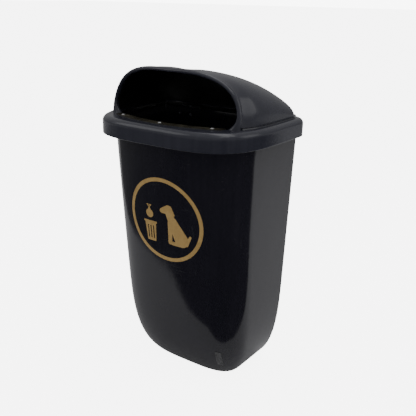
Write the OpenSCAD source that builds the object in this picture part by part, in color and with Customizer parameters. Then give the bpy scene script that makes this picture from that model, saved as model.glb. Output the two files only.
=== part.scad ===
// Hooded waste bin for a wall or a post: moulded body, hinged hood with an open mouth,
// printed sign, two key locks and a steel hang-on bracket.
// X is to the right, the mouth faces -Y, +Z is up. The origin is at the middle of the
// whole bin's box, on the ground. Heights are taken from the ground, and depths in the
// functions are taken from the rear face of the hood.

/* [Overall] */
// Width over the hood
overall_w = 430; // [400:1:520]
// Depth of the hood, front to back
hood_d = 336; // [320:1:405]
// Gap from the rear of the hood to the wall
wall_gap = 45; // [42:1:80]
// Height of the lower edge of the hood
skirt_z = 629; // [520:1:760]

/* [Hood] */
// Height of the skirt
skirt_h = 43; // [36:1:56]
// Radius along the skirt's top edge
skirt_round = 14; // [10:1:16]
// Radius of the skirt's rear corners, seen from above
skirt_corner_r = 40; // [30:1:60]
// How square the front of the skirt is, 2 is an ellipse
skirt_square = 3.8; // [3:0.1:5]
// Share of the depth taken by the curved front of the skirt
skirt_front = 0.76; // [0.6:0.01:0.85]
// Moulded thickness of the hood
hood_t = 4; // [3:0.5:5]
// Width of the shoulder beside the dome
shoulder_w = 19; // [16:1:24]
// Width of the mouth
mouth_w = 336; // [280:1:345]
// Height of the mouth above the shoulder
mouth_h = 107; // [80:1:140]
// Depth of the sill in front of the mouth
sill_d = 44; // [36:1:60]
// How far the middle of the mouth stands before its ends
mouth_bow = 38; // [20:1:50]
// Lean of the mouth to the back, in degrees
mouth_lean = 13; // [5:0.5:20]
// Thickness of the bead round the mouth
bead_t = 9; // [8:0.5:12]
// How far the bead stands above the dome
bead_proud = 1.2; // [0.6:0.1:2]
// Web that rounds the lower corners of the mouth
mouth_web = 20; // [8:1:30]
// Width of the hollow on the crest
crest_w = 46; // [30:1:60]
// Depth of the hollow on the crest
crest_d = 7; // [3:0.5:9]

/* [Body] */
// Wall of the body
wall = 4; // [3:0.5:5]
// Overhang of the hood at the sides and the front
overhang = 25.6; // [22:0.1:30]
// Overhang of the hood at the rear
rear_overhang = 6.3; // [4:0.1:10]
// Full width of the body at its foot, without the rounding
foot_w = 355; // [300:1:370]
// Full depth of the body at its foot, without the rounding
foot_d = 205; // [180:1:230]
// Set-back of the foot from the rear of the body
foot_setback = 12.2; // [6:0.1:20]
// Height of the rounding at the foot
foot_round_h = 272; // [200:1:300]
// Inward reach of the rounding at each side
foot_round_x = 125; // [100:1:135]
// Inward reach of the rounding at the front
foot_round_y = 100; // [80:1:110]
// Height cut off the round bottom to stand on
foot_flat = 5; // [4:0.5:8]
// Width of the flange round the rim
flange_w = 6; // [5:0.5:7]
// Drain hole radius
drain_r = 5; // [3:0.5:8]

/* [Sign] */
// Outer radius of the printed ring
ring_r = 106.5; // [80:0.5:112]
// Width of the printed ring
ring_w = 9.5; // [6:0.5:14]
// Height of the middle of the sign
sign_z = 440; // [400:1:460]
// Thickness of the printed film
film_t = 0.4; // [0.3:0.1:0.6]

/* [Label] */
// Distance of the blank label from the middle
label_x = 122; // [90:1:128]
// Height of the middle of the label
label_z = 76; // [50:1:120]

/* [Hinges] */
// Distance of each hinge from the middle
hinge_x = 120; // [90:1:140]
// Width of a hinge
hinge_w = 54; // [48:1:60]
// Hinge pin radius
pin_r = 3; // [2.5:0.1:3.4]
// Running clearance of a pin or a lock core, on the radius
run_gap = 0.05; // [0.02:0.01:0.1]

/* [Locks] */
// Radius of a lock's barrel
barrel_r = 6.5; // [6:0.5:7]
// Radius of a lock's turning core
core_r = 4.5; // [4:0.1:5]
// Length of a lock's cam from its axis
cam_l = 17; // [16:0.5:18]
// Distance of the hood lock from the rear of the hood
lock_y = 150; // [130:1:180]

/* [Bracket] */
// Width of the channel on the wall
channel_w = 120; // [110:1:150]
// Height of the channel
channel_h = 200; // [190:1:240]
// Steel thickness of the bracket
steel = 3; // [2.5:0.5:4]
// Distance between wall bolts, across
bolt_dx = 70; // [60:1:80]
// Distance between wall bolts, up
bolt_dz = 130; // [110:1:150]
// Radius of the wall bolt holes
bolt_hole_r = 4.5; // [3.5:0.5:6]
// Travel needed to lift the bin off its bracket
lift = 24; // [22:1:30]

/* [Hidden] */

PLASTIC = "#2b2d36";
STEEL = "#9a9c9e";
GOLD = "#c4a05a";
RUBBER = "#1a1a1a";

half_w = overall_w / 2;
rear_y = (hood_d + wall_gap) / 2 - wall_gap;
wall_y = (hood_d + wall_gap) / 2;
top_z = skirt_z + skirt_h;
front_steps = 44;
corner_steps = 6;
fit_gap = 0.1;

// ---- plan outlines ----

// Radius of a squared ellipse in the direction phi
function squircle(phi, a, b, n) =
    pow(pow(abs(cos(phi)) / a, n) + pow(abs(sin(phi)) / b, n), -1 / n);

// Points of a plan outline: half width a, front reach b before yc, rear plane yb
function outline(a, b, yc, n, yb, rb) = concat(
    [for (i = [0:front_steps]) let (phi = 180 + 180 * i / front_steps, r = squircle(phi, a, b, n))
        [r * cos(phi), yc + r * sin(phi)]],
    [for (i = [0:corner_steps]) let (u = 90 * i / corner_steps)
        [a - rb + rb * cos(u), yb - rb + rb * sin(u)]],
    [for (i = [0:corner_steps]) let (u = 90 + 90 * i / corner_steps)
        [rb - a + rb * cos(u), yb - rb + rb * sin(u)]]);

function at_height(points, z) = [for (p = points) [p[0], rear_y + p[1], z]];

// Solid skinned over rings of equal length; open ends are capped unless closed is true
module skin(rings, closed = false) {
    n = len(rings[0]);
    m = len(rings);
    last = closed ? m : m - 1;
    walls = [for (j = [0:last - 1], i = [0:n - 1]) let (k = (i + 1) % n, up = (j + 1) % m)
        each [[j * n + i, up * n + k, j * n + k], [j * n + i, up * n + i, up * n + k]]];
    caps = closed ? [] : [[for (i = [0:n - 1]) i], [for (i = [n - 1:-1:0]) (m - 1) * n + i]];
    polyhedron([for (r = rings) each r], concat(walls, caps), convexity = 10);
}

// ---- body shape ----

body_top = 654.3 / 634.3 * (skirt_z + foot_flat);
rim_z = top_z - hood_t - 4;
ledge_z = skirt_z - 6;
rim_back = 42;
top_a = half_w - overhang;
top_d = hood_d - overhang - rear_overhang;
foot_front = 0.37;

function share(z) = (z + foot_flat) / body_top;
function rounding(z) =
    let (u = max(0, 1 - (z + foot_flat) / foot_round_h)) 1 - pow(1 - pow(u, 3.2), 1 / 3.2);
function body_a(z) = foot_w / 2 + (top_a - foot_w / 2) * share(z) - foot_round_x * rounding(z);
function body_depth(z) = foot_d + (top_d - foot_d) * share(z) - foot_round_y * rounding(z);
function body_n(z) =
    let (n = 3.42 - 1.06 * share(z)) n + (3.37 - n) * rounding(z);
function body_back(z) = -(rear_overhang + foot_setback * (1 - share(z)));
function body_b(z) = body_depth(z) * foot_front;
function body_yc(z) = body_back(z) - body_depth(z) * (1 - foot_front);

// Outline of the body at height z, grown by g, with its rear plane at back
function body_ring(z, g, back, at) =
    at_height(outline(body_a(z) + g, body_b(z) + g, body_yc(z), body_n(z), back,
        max(1.5, 6 + g)), at);

// Y of the body's front at x and z, moved out by g
function front_y(x, z, g) =
    let (a = body_a(z) + g, b = body_b(z) + g, n = body_n(z))
    rear_y + body_yc(z) - b * pow(1 - pow(min(1, abs(x) / a), n), 1 / n);

low_levels = [0, 3, 8, 15, 25, 40, 60, 85, 115, 150, 190, 235, 270];
high_levels = [for (i = [0:8]) 300 + (ledge_z - 300) * i / 8];

drain_x = [-60, 60];
drain_y = [30, 80];

module bin_body() {
    inner_low = [for (z = low_levels) if (z > wall) z];
    outer = [for (z = concat(low_levels, high_levels)) body_ring(z, 0, body_back(z), z)];
    rim = [
        body_ring(ledge_z + 2, 0, -rim_back, ledge_z + 2),
        body_ring(rim_z - wall - 1.5, 0, -rim_back, rim_z - wall - 1.5),
        body_ring(rim_z - wall, 1.5, -rim_back + 1, rim_z - wall),
        body_ring(rim_z - wall, flange_w - 1, -rim_back + 3, rim_z - wall + 0.01),
        body_ring(rim_z - 3, flange_w, -rim_back + 4, rim_z - 3),
        body_ring(rim_z - 1, flange_w, -rim_back + 4, rim_z - 1),
        body_ring(rim_z, flange_w - 1, -rim_back + 3, rim_z),
        body_ring(rim_z, 1 - wall, -rim_back - wall + 1, rim_z + 0.01),
        body_ring(rim_z - 1, -wall, -rim_back - wall, rim_z - 1),
        body_ring(ledge_z - wall + 2, -wall, -rim_back - wall, ledge_z - wall + 2)];
    inner = [for (i = [len(high_levels) - 1:-1:0]) let (z = high_levels[i] - wall)
        body_ring(z, -wall, body_back(z) - wall, z)];
    floor_rings = [for (i = [len(inner_low) - 1:-1:0]) let (z = inner_low[i])
        body_ring(z - 0.7 * wall, -0.9 * wall, body_back(z) - wall, z)];
    bottom = [body_ring(wall - 2.5, -0.9 * wall, body_back(wall) - wall, wall + 0.5)];
    color(PLASTIC) difference() {
        skin(concat(outer, rim, inner, floor_rings, bottom));
        for (x = drain_x, y = drain_y)
            translate([x, rear_y - foot_setback - rear_overhang - y, -1])
                cylinder(h = 3 * wall, r = drain_r, $fn = 32);
        for (x = [-1, 1]) hinge_leaf_holes(x * hinge_x);
        lock_gate();
        keeper_holes();
        rail_holes(rail_bolt_r + fit_gap, 20);
        on_back(lock_z) rotate([-90, 0, 0])
            translate([0, 0, -15]) cylinder(h = 30, r = barrel_r + fit_gap, $fn = 48);
    }
}

// ---- hood shape ----

dome_a = half_w - shoulder_w;
dome_rear = 11;
sink = 2.5;
lip_a = mouth_w / 2 + bead_t;
lip_h = mouth_h + bead_t;
arch_n = 2.8;
arch_steps = 34;

// Half width of the dome's foot at the depth y
function foot_a(y) =
    let (yc = -hood_d * (1 - skirt_front), reach = hood_d * skirt_front - 1.4 * shoulder_w,
        v = min(1, max(0, (yc - y) / reach)), rr = skirt_corner_r,
        w = min(1, max(0, (y + dome_rear + rr) / rr)))
    dome_a * pow(1 - pow(v, skirt_square), 1 / skirt_square) - rr * (1 - sqrt(1 - w * w));

function ease(s) = let (w = min(1, s / 0.18)) 1 - (1 - w) * (1 - w);

// Smooth hollow on the crest, deepest in its middle
function bell(u) = abs(u) >= 1 ? 0 : pow(1 - u * u, 2);
function hollow(x, y) =
    let (ym = -hood_d + sill_d + 112) crest_d * bell(x / crest_w) * bell((y - ym) / 72);

// Point of the dome: s runs from the mouth to the rear, t over the arch, g moves it in
function dome_point(s, t, g) =
    let (y0 = -hood_d + sill_d + mouth_bow, y1 = -dome_rear - 1.5 * g,
        yf = y0 + (y1 - y0) * s,
        a = lip_a + (foot_a(min(yf, -dome_rear)) - lip_a) * ease(s) - g,
        h = (lip_h + sink - g) * pow(1 - s * s, 0.526),
        n = arch_n - 0.2 * s, r = squircle(t, a, h, n),
        x = h < 0.01 ? a * cos(t) : r * cos(t),
        z = h < 0.01 ? 0 : r * sin(t),
        y = yf - mouth_bow * (1 - s) * (1 - pow(x / a, 2)) + z * tan(mouth_lean) * (1 - s))
    [x, rear_y + y, top_z - sink + z - hollow(x, y)];

dome_steps = 17;
function dome_share(j) = let (u = j / dome_steps) 1 - pow(1 - u, 1.7);

// Closed C-shaped ring across the shell of the dome
function dome_ring(j) =
    let (s = dome_share(j)) concat(
        [for (i = [0:arch_steps]) dome_point(s, 180 * i / arch_steps, 0)],
        [for (i = [arch_steps:-1:0]) dome_point(s, 180 * i / arch_steps, hood_t)]);

// Ring of the skirt, drawn in by g, at height z
function skirt_ring(g, z) =
    at_height(outline(half_w - g, hood_d * skirt_front - g, -hood_d * (1 - skirt_front),
        skirt_square, -g, max(3, skirt_corner_r - g)), z);

module skirt() {
    ri = skirt_round - hood_t;
    hole_a = dome_a - hood_t - 2;
    hole_front = hood_d - sill_d - 6;
    yc = -hood_d * (1 - skirt_front);
    hole = outline(hole_a, hole_front + yc, yc, skirt_square, -dome_rear - 7, skirt_corner_r - 14);
    outer = [for (i = [0:6]) let (u = 15 * i)
        skirt_ring(skirt_round * (1 - cos(u)), top_z - skirt_round * (1 - sin(u)))];
    inner = [for (i = [6:-1:0]) let (u = 15 * i)
        skirt_ring(hood_t + ri * (1 - cos(u)), top_z - skirt_round + ri * sin(u))];
    skin(concat(
        [skirt_ring(1, skirt_z), skirt_ring(0, skirt_z + 1.2)], outer,
        [at_height(hole, top_z), at_height(hole, top_z - hood_t)], inner,
        [skirt_ring(hood_t, skirt_z + 1.2), skirt_ring(hood_t - 1, skirt_z)]), closed = true);
}

// Bead along the mouth: a rounded rim swept over the arch
bead_half = 0.8 * bead_t;
module mouth_bead() {
    bead = [for (i = [11:-1:0]) 30 * i];
    rings = [for (j = [0:arch_steps])
        let (t = 180 * j / arch_steps, up = dome_point(0, t, 0)[2] - top_z,
            web = mouth_web * pow(max(0, 1 - up / (1.5 * mouth_web)), 2))
        [for (u = bead) let (p = dome_point(0, t, (bead_t + web) / 2 * (1 + cos(u)) - bead_proud))
            p + [0, bead_half * sin(u) - 1, 0]]];
    skin(rings);
}

// One moulding, brought to the overall width, with its rivet and lock holes
module hood_shell() {
    color(PLASTIC) difference() {
        resize([overall_w, 0, 0]) {
            skirt();
            skin([for (j = [dome_steps:-1:0]) dome_ring(j)]);
            mouth_bead();
        }
        for (x = [-1, 1]) hood_rivet_holes(x * hinge_x);
        translate([-half_w, rear_y - lock_y, lock_hood_z]) rotate([0, 90, 0]) {
            translate([0, 0, -5]) cylinder(h = 20, r = barrel_r + fit_gap, $fn = 48);
            translate([0, 0, -5]) cylinder(h = 5.1 + lock_sink + head_t, r = head_r + fit_gap, $fn = 48);
        }
        for (x = stub_x) translate([x, stub_y(x), top_z - 8])
            cylinder(h = 12, r = rivet_r + fit_gap, $fn = 24);
    }
}

// ---- plate for stubbing out, on the sill ----

stub_t = 1.5;
stub_half = 148;
stub_w = 20;
rivet_r = 2.4;
stub_x = [-126, 0, 126];
function mouth_foot(x) = rear_y - hood_d + sill_d + mouth_bow * pow(2 * x / mouth_w, 2);
function stub_y(x) = mouth_foot(x) - 7;

module stub_plate() {
    steps = 24;
    function sx(i) = stub_half * (2 * i / steps - 1);
    front = [for (i = [0:steps]) [sx(i), stub_y(sx(i)) - stub_w / 2 + 1]];
    back = [for (i = [steps:-1:0]) [sx(i), stub_y(sx(i)) + stub_w / 2]];
    color("#4a4a3c") difference() {
        translate([0, 0, top_z + 0.05]) linear_extrude(stub_t) polygon(concat(front, back));
        for (x = stub_x) translate([x, stub_y(x), top_z - 1])
            cylinder(h = 4, r = rivet_r + fit_gap, $fn = 24);
    }
}

// Rivet along +Z: dome head on top, shank down, flat set head below
module rivet(grip, r = rivet_r) {
    $fn = 24;
    rotate_extrude() polygon(concat([[0, -grip - 1.2], [1.6 * r, -grip - 1.2], [1.6 * r, -grip],
        [r, -grip], [r, 0], [2 * r, 0]],
        [for (i = [1:5]) [2 * r * cos(18 * i), 0.9 * r * sin(18 * i)]]));
}

module stub_rivets() {
    color("silver") for (x = stub_x) translate([x, stub_y(x), top_z + stub_t + 0.1])
        rivet(hood_t + stub_t + 0.2);
}

// ---- rubber buffers under the hood ----

buffer_y = [75, 190];
buffer_r = 3.6;
buffer_out = 1.2;

module rim_buffers() {
    gap = top_z - hood_t - rim_z;
    color(RUBBER) for (x = [-1, 1], y = buffer_y)
        translate([x * (top_a + buffer_out), rear_y - y, rim_z + 0.02]) cylinder(h = gap - 0.35, r = buffer_r, $fn = 24);
}

// ---- hood hinges ----

axis_y = rear_y - skirt_round;
axis_z = top_z - skirt_round;
knuckle_r = 6;
leaf_t = 2.5;
mid_w = 22;
leaf_dx = 18;
body_leaf_z = 12;
hood_leaf_z = 14;
flush_r = 1.6 * rivet_r;
leaf_reach = rim_back - skirt_round;
screw_r = 2.4;

// Places of the screws in a body leaf, from the hinge axis
module hinge_leaf_holes(x, extra = fit_gap) {
    for (dx = [-leaf_dx, leaf_dx]) translate([x + dx, axis_y - leaf_reach - 20, axis_z - body_leaf_z])
        rotate([-90, 0, 0]) cylinder(h = 40, r = screw_r + extra, $fn = 24);
}

module hood_rivet_holes(x) {
    for (dx = [-leaf_dx, leaf_dx]) translate([x + dx, axis_y, axis_z - hood_leaf_z]) rotate([-90, 0, 0]) {
        cylinder(h = 40, r = rivet_r + fit_gap, $fn = 24);
        translate([0, 0, skirt_round - 1.5]) cylinder(h = 5, r = flush_r + fit_gap, $fn = 24);
    }
}

module body_hinge(x) {
    color(STEEL) difference() {
        translate([x, axis_y, axis_z]) {
            translate([-mid_w / 2, 0, 0]) rotate([0, 90, 0]) cylinder(h = mid_w, r = knuckle_r, $fn = 48);
            translate([-mid_w / 2, -leaf_reach + 0.1, -knuckle_r]) cube([mid_w, leaf_reach, leaf_t]);
            translate([-hinge_w / 2, -leaf_reach + 0.1, -20]) cube([hinge_w, leaf_t, 20 - knuckle_r + leaf_t]);
        }
        translate([x - hinge_w, axis_y, axis_z]) rotate([0, 90, 0])
            cylinder(h = 2 * hinge_w, r = pin_r + run_gap, $fn = 48);
        hinge_leaf_holes(x);
    }
}

module body_hinge_left() { body_hinge(-hinge_x); }
module body_hinge_right() { body_hinge(hinge_x); }

module hood_hinge(x) {
    end_w = (hinge_w - mid_w) / 2 - 0.5;
    back = skirt_round - hood_t - 0.1;
    color(STEEL) difference() {
        translate([x, axis_y, axis_z]) {
            for (side = [-1, 1]) translate([side * (hinge_w / 2 - end_w / 2) - end_w / 2, 0, 0]) {
                rotate([0, 90, 0]) cylinder(h = end_w, r = knuckle_r, $fn = 48);
                translate([0, knuckle_r - 2, -leaf_t - 0.5]) cube([end_w, back - knuckle_r + 2, leaf_t]);
            }
            translate([-hinge_w / 2, back - leaf_t, -22]) cube([hinge_w, leaf_t, 21.5]);
        }
        translate([x - hinge_w, axis_y, axis_z]) rotate([0, 90, 0])
            cylinder(h = 2 * hinge_w, r = pin_r + run_gap, $fn = 48);
        hood_rivet_holes(x);
    }
}

module hood_hinge_left() { hood_hinge(-hinge_x); }
module hood_hinge_right() { hood_hinge(hinge_x); }

module hinge_pin(x) {
    color("silver") translate([x, axis_y, axis_z]) rotate([0, 90, 0]) {
        translate([0, 0, -hinge_w / 2 - 2]) cylinder(h = hinge_w + 5, r = pin_r, $fn = 48);
        translate([0, 0, -hinge_w / 2 - 3.6]) cylinder(h = 2.4, r = pin_r + 1.8, $fn = 48);
    }
}

module hinge_pin_left() { hinge_pin(-hinge_x); }
module hinge_pin_right() { mirror([1, 0, 0]) hinge_pin(-hinge_x); }

module body_hinge_screws() {
    color("silver") for (side = [-1, 1], dx = [-leaf_dx, leaf_dx])
        translate([side * hinge_x + dx, axis_y - leaf_reach + leaf_t + 0.15, axis_z - body_leaf_z])
            rotate([-90, 0, 0]) rivet(leaf_t + wall + 0.2, screw_r);
}

module hood_hinge_rivets() {
    color("silver") for (side = [-1, 1], dx = [-leaf_dx, leaf_dx])
        translate([side * hinge_x + dx, axis_y + skirt_round - hood_t - leaf_t - 0.15, axis_z - hood_leaf_z])
            rotate([90, 0, 0]) rivet(leaf_t + hood_t + 0.2 - 1.2);
}

// ---- key locks; each is drawn along +Z with its face at z = 0 ----

lock_hood_z = top_z - 26;
lock_sink = 0.5;
cam_t = 3;
cam_half = 6;
head_t = 2.1;
head_r = barrel_r + 2.5;
stub_sq = 5.4;
hood_cam_z = 13;

// Barrel for a cam that turns at the depth cam_z
module lock_case(cam_z) {
    $fn = 48;
    color(STEEL) difference() {
        union() {
            cylinder(h = head_t, r = head_r);
            cylinder(h = cam_z - 0.6, r = barrel_r);
        }
        translate([0, 0, -1]) cylinder(h = cam_z + 2, r = core_r + run_gap);
    }
}

// Turning core: a three-sided key post in front, a square for the cam behind
module lock_core(cam_z) {
    $fn = 48;
    color("silver") difference() {
        union() {
            translate([0, 0, 4]) cylinder(h = cam_z - 4.2, r = core_r);
            translate([0, 0, 0.6]) cylinder(h = 4, r = 3.4, $fn = 3);
            translate([-stub_sq / 2, -stub_sq / 2, 6])
                cube([stub_sq, stub_sq, cam_z + cam_t - 6.2]);
        }
        translate([0, 0, cam_z - 4]) cylinder(h = 20, r = 1.6);
    }
}

module lock_nut(z) {
    color(STEEL) translate([0, 0, z]) difference() {
        cylinder(h = 4, r = barrel_r + 3, $fn = 6);
        translate([0, 0, -1]) cylinder(h = 6, r = barrel_r + fit_gap, $fn = 48);
    }
}

// Cam pointing along +X
module lock_cam(cam_z) {
    color(STEEL) translate([0, 0, cam_z]) difference() {
        union() {
            cylinder(h = cam_t, r = cam_half, $fn = 48);
            translate([0, -cam_half, 0]) cube([cam_l, 2 * cam_half, cam_t]);
        }
        translate([-stub_sq / 2 - fit_gap, -stub_sq / 2 - fit_gap, -1])
            cube([stub_sq + 2 * fit_gap, stub_sq + 2 * fit_gap, cam_t + 2]);
    }
}

module lock_screw(cam_z) {
    $fn = 32;
    color("silver") translate([0, 0, cam_z + cam_t + 0.05]) {
        translate([0, 0, -6]) cylinder(h = 7, r = 1.5);
        cylinder(h = 2, r = 4.2);
    }
}

// Hood lock: its face is flush with the left of the skirt
module at_hood_lock() {
    translate([-half_w + lock_sink, rear_y - lock_y, lock_hood_z]) rotate([0, 90, 0]) children();
}

module hood_lock_case() { at_hood_lock() lock_case(hood_cam_z); }
module hood_lock_core() { at_hood_lock() lock_core(hood_cam_z); }
module hood_lock_nut() { at_hood_lock() lock_nut(hood_t - lock_sink + 0.9); }
module hood_lock_cam() { at_hood_lock() lock_cam(hood_cam_z); }
module hood_lock_screw() { at_hood_lock() lock_screw(hood_cam_z); }

// Gate in the flange that the lock passes when the hood swings up
gate_half = barrel_r + 4;
module lock_gate() {
    translate([-half_w, rear_y - lock_y - gate_half, rim_z - 2 * wall])
        cube([half_w - top_a - 0.5, 2 * gate_half, 3 * wall]);
}

// ---- keeper that holds the hood lock's cam down ----

keep_y = rear_y - lock_y - gate_half - 0.5;
keep_l = 26;
keep_dy = [7, 19];
keep_hole_z = 14;
keep_z = lock_hood_z + cam_half + 0.8;
keep_x = -half_w + lock_sink + hood_cam_z - 3;
keep_wall_x = -top_a - 1.2;

module keeper_holes(extra = fit_gap) {
    for (dy = keep_dy) translate([keep_wall_x - 10, keep_y - dy, keep_z - keep_hole_z])
        rotate([0, 90, 0]) cylinder(h = 30, r = screw_r + extra, $fn = 24);
}

module lock_keeper() {
    color(STEEL) difference() {
        union() {
            translate([keep_x, keep_y - keep_l, keep_z]) cube([keep_wall_x - keep_x, keep_l, leaf_t]);
            translate([keep_wall_x - leaf_t, keep_y - keep_l, keep_z - 22]) cube([leaf_t, keep_l, 22 + leaf_t]);
        }
        keeper_holes();
    }
}

module keeper_rivets() {
    color("silver") for (dy = keep_dy)
        translate([keep_wall_x - leaf_t - 0.15, keep_y - dy, keep_z - keep_hole_z])
            rotate([0, -90, 0]) rivet(leaf_t + wall + 2.4, screw_r);
}

// ---- hanging rail on the rear of the body ----

rail_z = 508 * skirt_z / 629;
rail_w = 230;
rail_h = 44;
hook_w = 130;
hook_gap = 8;
rail_bolt_r = 3;
rail_bolt_in = 18;
rail_bolt_z = [10, 34];
lean = atan(foot_setback / body_top);

// Places its children on the rear face of the body at height z; +Y points to the wall
module on_back(z) {
    translate([0, rear_y + body_back(z), z]) rotate([-lean, 0, 0]) children();
}

module rail_holes(r, l) {
    on_back(rail_z) for (x = [-1, 1], z = rail_bolt_z)
        translate([x * (rail_w / 2 - rail_bolt_in), -l / 2, z]) rotate([-90, 0, 0]) cylinder(h = l, r = r, $fn = 32);
}

module hanger_rail() {
    color(STEEL) difference() {
        on_back(rail_z) translate([0, 0.1, 0]) {
            translate([-rail_w / 2, 0, 0]) cube([rail_w, steel, rail_h]);
            translate([-hook_w / 2 - 8, 0, rail_h - steel]) cube([hook_w + 16, 2 * steel + hook_gap, steel]);
            translate([-hook_w / 2 - 8, steel + hook_gap, rail_h - 22]) cube([hook_w + 16, steel, 22]);
        }
        rail_holes(rail_bolt_r + fit_gap, 40);
    }
}

module rail_bolts() {
    color("silver") on_back(rail_z) for (x = [-1, 1], z = rail_bolt_z)
        translate([x * (rail_w / 2 - rail_bolt_in), -wall - 0.1, z]) rotate([-90, 0, 0]) {
            translate([0, 0, -2.4]) rotate_extrude($fn = 32)
                polygon(concat([[0, 2.4]], [for (i = [0:5]) [7 * cos(18 * i), 2.4 - 2.4 * sin(18 * i)]]));
            translate([0, 0, -1]) cylinder(h = 15.5, r = rail_bolt_r, $fn = 32);
        }
}

module rail_washers() {
    color("silver") on_back(rail_z) for (x = [-1, 1], z = rail_bolt_z)
        translate([x * (rail_w / 2 - rail_bolt_in), steel + 0.15, z]) rotate([-90, 0, 0]) difference() {
            cylinder(h = 1.2, r = 6.2, $fn = 32);
            translate([0, 0, -1]) cylinder(h = 4, r = rail_bolt_r + fit_gap, $fn = 32);
        }
}

module rail_nuts() {
    color("silver") on_back(rail_z) for (x = [-1, 1], z = rail_bolt_z)
        translate([x * (rail_w / 2 - rail_bolt_in), steel + 1.4, z]) rotate([-90, 0, 0]) difference() {
            cylinder(h = 4.8, r = 5.8, $fn = 6);
            translate([0, 0, -1]) cylinder(h = 8, r = rail_bolt_r + run_gap, $fn = 32);
        }
}

// ---- bracket on the wall ----

channel_z = rail_z + rail_h - 30 - channel_h;
bar_y = rear_y + body_back(rail_z + rail_h) + steel + 3.4;
bar_top = rail_z + rail_h - steel - 1;
bar_h = 104;
lock_z = bar_top - bar_h - cam_half - 2;
notch_half = barrel_r + 5;

module wall_channel() {
    depth = wall_y - bar_y - steel - 0.05;
    color(STEEL) difference() {
        union() {
            translate([-channel_w / 2, wall_y - steel, channel_z]) cube([channel_w, steel, channel_h]);
            for (x = [-channel_w / 2, channel_w / 2 - steel])
                translate([x, wall_y - depth, channel_z]) cube([steel, depth, channel_h]);
        }
        for (x = [-1, 1], z = [-1, 1])
            translate([x * bolt_dx / 2, wall_y - 2 * steel, channel_z + channel_h / 2 + z * bolt_dz / 2])
                rotate([-90, 0, 0]) cylinder(h = 4 * steel, r = bolt_hole_r, $fn = 48);
        for (x = [-1, 1], z = [-1, 1])
            translate([x * (channel_w / 2 - 12) - 2.5, wall_y - 2 * steel,
                channel_z + channel_h / 2 + z * bolt_dz / 4 - 13]) cube([5, 4 * steel, 26]);
    }
}

// Bar whose upper edge hooks behind the rail; its notch clears the bracket lock
module hook_bar() {
    low = bar_top - bar_h;
    color(STEEL) difference() {
        translate([-hook_w / 2, bar_y, low]) cube([hook_w, steel, bar_h]);
        translate([-notch_half, bar_y - 1, low - 1]) cube([2 * notch_half, steel + 2, lift + 2 * cam_half + 8]);
        translate([-cam_l - 6, bar_y - 1, low + 8]) cube([cam_l, steel + 2, lift + 3]);
    }
}

rest_z = channel_z + 8;
rest_h = 34;
pad_r = 11;
pad_in = 16;

module rest_bar() {
    color(STEEL) translate([-hook_w / 2, bar_y, rest_z]) cube([hook_w, steel, rest_h]);
}

module rest_pads() {
    gap = bar_y - (rear_y + body_back(rest_z + rest_h)) - 0.5;
    color(RUBBER) for (x = [-1, 1])
        translate([x * (hook_w / 2 - pad_in), bar_y - 0.05, rest_z + rest_h / 2]) rotate([90, 0, 0])
            cylinder(h = gap, r = pad_r, $fn = 48);
}

// Bracket lock: its face is inside the bin, its cam behind the rear wall
lock_face_y = rear_y + body_back(lock_z) - wall - head_t - 0.4;
bracket_cam_z = bar_y + (steel - cam_t) / 2 - lock_face_y;
module at_bracket_lock() {
    translate([0, lock_face_y, lock_z]) rotate([-90, 0, 0]) children();
}

module bracket_lock_case() { at_bracket_lock() lock_case(bracket_cam_z); }
module bracket_lock_core() { at_bracket_lock() lock_core(bracket_cam_z); }
module bracket_lock_nut() { at_bracket_lock() lock_nut(head_t + wall + 0.8); }
module bracket_lock_cam() { at_bracket_lock() rotate([0, 0, 90]) lock_cam(bracket_cam_z); }
module bracket_lock_screw() { at_bracket_lock() lock_screw(bracket_cam_z); }

// ---- printed sign ----

// Thin curved sheet lying on the front of the body, between the given corners
module sheet(x0, x1, z0, z1, nx, nz, t) {
    gap = 0.25;
    xs = [for (i = [0:nx]) x0 + (x1 - x0) * i / nx];
    function row(z) = concat(
        [for (x = xs) [x, front_y(x, z, gap + t), z]],
        [for (i = [nx:-1:0]) [xs[i], front_y(xs[i], z, gap), z]]);
    skin([for (j = [0:nz]) row(z0 + (z1 - z0) * j / nz)]);
}

module printed(shift_x, shift_z, half) {
    color(GOLD) intersection() {
        sheet(shift_x - half, shift_x + half, sign_z + shift_z - half, sign_z + shift_z + half,
            ceil(half / 4), ceil(half / 6), film_t);
        translate([0, rear_y, sign_z]) rotate([90, 0, 0]) linear_extrude(2 * hood_d) children();
    }
}

module sign_ring() {
    printed(0, 0, ring_r + 2) difference() {
        circle(ring_r, $fn = 128);
        circle(ring_r - ring_w, $fn = 128);
    }
}

// Sitting dog, seen from its left side
module sign_dog() {
    printed(26, 0, 62) {
        hull() {
            translate([46, -40]) circle(20, $fn = 40);
            translate([24, 2]) circle(13, $fn = 32);
        }
        hull() {
            translate([22, 2]) circle(11, $fn = 32);
            translate([15, 26]) circle(11, $fn = 32);
        }
        hull() {
            translate([15, 30]) circle(12, $fn = 32);
            translate([-5, 25]) circle(6, $fn = 24);
        }
        hull() {
            translate([20, 36]) circle(5, $fn = 24);
            translate([26, 20]) circle(6, $fn = 24);
        }
        hull() {
            translate([17, -4]) circle(7, $fn = 24);
            translate([13, -54]) circle(5.5, $fn = 24);
        }
        hull() {
            translate([40, -55]) circle(5, $fn = 24);
            translate([20, -55]) circle(5, $fn = 24);
        }
        hull() {
            translate([60, -50]) circle(5, $fn = 24);
            translate([72, -28]) circle(3, $fn = 24);
        }
    }
}

// Tied bag dropping into the bin
module sign_bag() {
    printed(-44, 14, 22) translate([-44, 0]) {
        translate([0, 10]) circle(11, $fn = 40);
        polygon([[-5, 17], [5, 17], [2.4, 25], [-2.4, 25]]);
        polygon([[0, 24], [-8, 33], [-2, 34]]);
        polygon([[0, 24], [8, 33], [2, 34]]);
    }
}

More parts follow.
